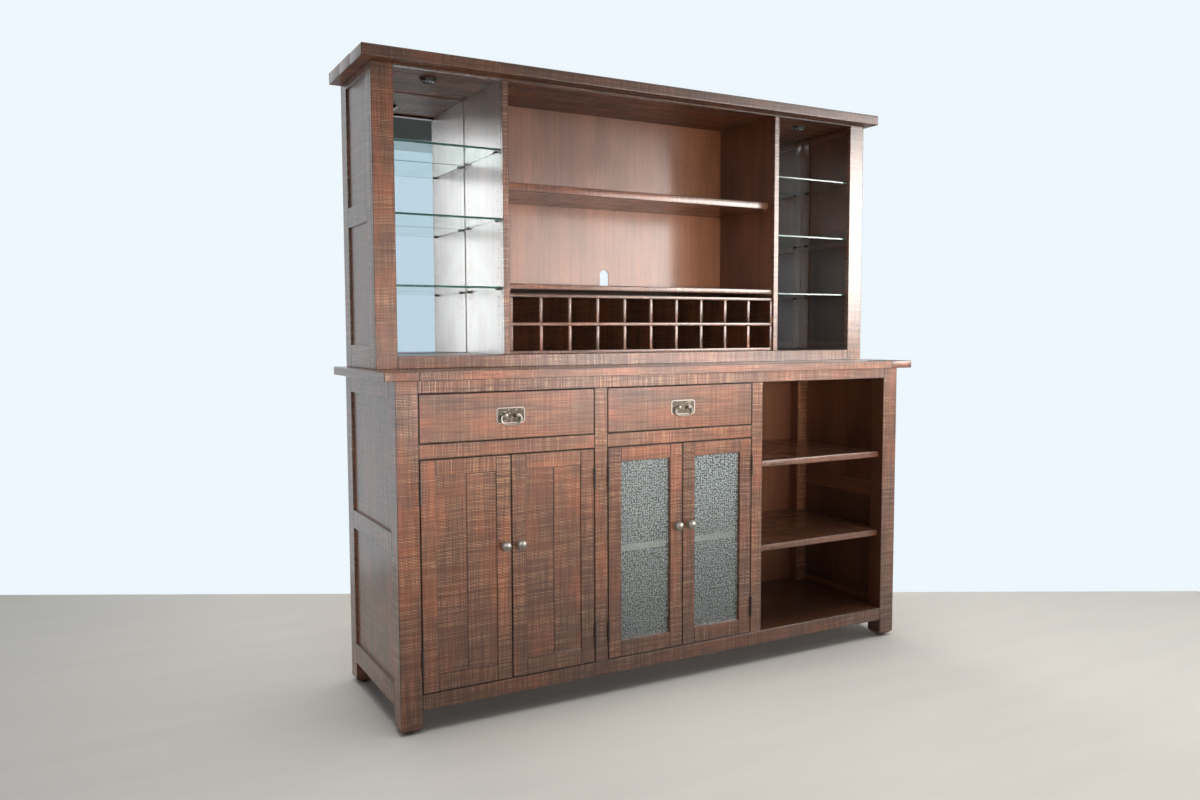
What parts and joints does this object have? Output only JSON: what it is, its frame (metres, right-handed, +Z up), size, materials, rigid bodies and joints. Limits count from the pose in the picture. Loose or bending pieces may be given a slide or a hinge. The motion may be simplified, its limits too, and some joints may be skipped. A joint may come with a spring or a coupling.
{
  "type": "dresser with hutch",
  "caption": "Dining dresser with drawers, panelled and glazed doors and an open shelf bay, under a hutch with mirrored glass-shelved bays and a wine rack.",
  "frame": {"origin": "on the floor, under the middle of the outline box", "axes": "+X to the right along the front, +Y to the back, +Z up"},
  "size_m": [2.133, 0.6134, 2.1086],
  "materials": {
    "sawn_wood": "rough-sawn stained hardwood, satin lacquer",
    "veneer": "smooth stained veneer, satin",
    "drawer_wood": "plain sanded hardwood",
    "clear_glass": "clear float glass with green edges",
    "textured_glass": "seeded textured glass",
    "mirror": "silvered mirror",
    "aged_metal": "antique pewter, dark in the hollows",
    "black_metal": "black, satin"
  },
  "bodies": {
    "cabinet": {"counter_top": "sawn_wood", "base_end_left": "sawn_wood", "base_end_right": "sawn_wood", "base_face_frame": "sawn_wood", "bay_shelf_upper": "sawn_wood", "bay_shelf_lower": "sawn_wood", "hutch_top": "sawn_wood", "hutch_end_left": "sawn_wood", "hutch_end_right": "sawn_wood", "hutch_face_frame": "sawn_wood", "hutch_shelf": "sawn_wood", "rack_deck": "sawn_wood", "wine_rack": "sawn_wood", "base_partition_left": "veneer", "base_partition_right": "veneer", "base_bottom_board": "veneer", "base_back_panel": "veneer", "cupboard_shelf_left": "veneer", "cupboard_shelf_right": "veneer", "hutch_divider_left": "veneer", "hutch_divider_right": "veneer", "hutch_back_panel": "veneer", "hutch_floor": "veneer", "drawer_runner_board": "drawer_wood", "glass_shelf_left_upper": "clear_glass", "glass_shelf_left_middle": "clear_glass", "glass_shelf_left_lower": "clear_glass", "glass_shelf_right_upper": "clear_glass", "glass_shelf_right_middle": "clear_glass", "glass_shelf_right_lower": "clear_glass", "mirror_left": "mirror", "mirror_right": "mirror", "wood_door_left_hinge_upper": "black_metal", "wood_door_left_hinge_lower": "black_metal", "wood_door_right_hinge_upper": "black_metal", "wood_door_right_hinge_lower": "black_metal", "glass_door_left_hinge_upper": "black_metal", "glass_door_left_hinge_lower": "black_metal", "glass_door_right_hinge_upper": "black_metal", "glass_door_right_hinge_lower": "black_metal", "puck_light_left": "black_metal", "puck_light_right": "black_metal"},
    "drawer_left": {"drawer_left_box": "sawn_wood", "drawer_left_pull_plate": "aged_metal"},
    "bail_left": {"drawer_left_bail": "aged_metal"},
    "drawer_right": {"drawer_right_box": "sawn_wood", "drawer_right_pull_plate": "aged_metal"},
    "bail_right": {"drawer_right_bail": "aged_metal"},
    "wood_door_left": {"wood_door_left_frame": "sawn_wood", "wood_door_left_planks": "sawn_wood", "wood_door_left_knob": "aged_metal"},
    "wood_door_right": {"wood_door_right_frame": "sawn_wood", "wood_door_right_planks": "sawn_wood", "wood_door_right_knob": "aged_metal"},
    "glass_door_left": {"glass_door_left_frame": "sawn_wood", "glass_door_left_pane": "textured_glass", "glass_door_left_knob": "aged_metal"},
    "glass_door_right": {"glass_door_right_frame": "sawn_wood", "glass_door_right_pane": "textured_glass", "glass_door_right_knob": "aged_metal"}
  },
  "joints": [
    {"name": "drawer_left_slide", "type": "slide", "parent": "cabinet", "child": "drawer_left", "axis": [0, -1, 0], "range_m": [0, 0.38]},
    {"name": "bail_left_swing", "type": "hinge", "parent": "drawer_left", "child": "bail_left", "pos_m": [-0.65287, -0.27855, 0.97], "axis": [-1, 0, 0], "range_deg": [0, 85]},
    {"name": "drawer_right_slide", "type": "slide", "parent": "cabinet", "child": "drawer_right", "axis": [0, -1, 0], "range_m": [0, 0.38]},
    {"name": "bail_right_swing", "type": "hinge", "parent": "drawer_right", "child": "bail_right", "pos_m": [0, -0.27855, 0.97], "axis": [-1, 0, 0], "range_deg": [0, 85]},
    {"name": "wood_door_left_hinge", "type": "hinge", "parent": "cabinet", "child": "wood_door_left", "pos_m": [-0.9535, -0.27455, 0.4835], "axis": [0, 0, -1], "range_deg": [0, 110]},
    {"name": "wood_door_right_hinge", "type": "hinge", "parent": "cabinet", "child": "wood_door_right", "pos_m": [-0.35223, -0.27455, 0.4835], "axis": [0, 0, 1], "range_deg": [0, 88]},
    {"name": "glass_door_left_hinge", "type": "hinge", "parent": "cabinet", "child": "glass_door_left", "pos_m": [-0.30063, -0.27455, 0.4835], "axis": [0, 0, -1], "range_deg": [0, 88]},
    {"name": "glass_door_right_hinge", "type": "hinge", "parent": "cabinet", "child": "glass_door_right", "pos_m": [0.30063, -0.27455, 0.4835], "axis": [0, 0, 1], "range_deg": [0, 110]}
  ]
}
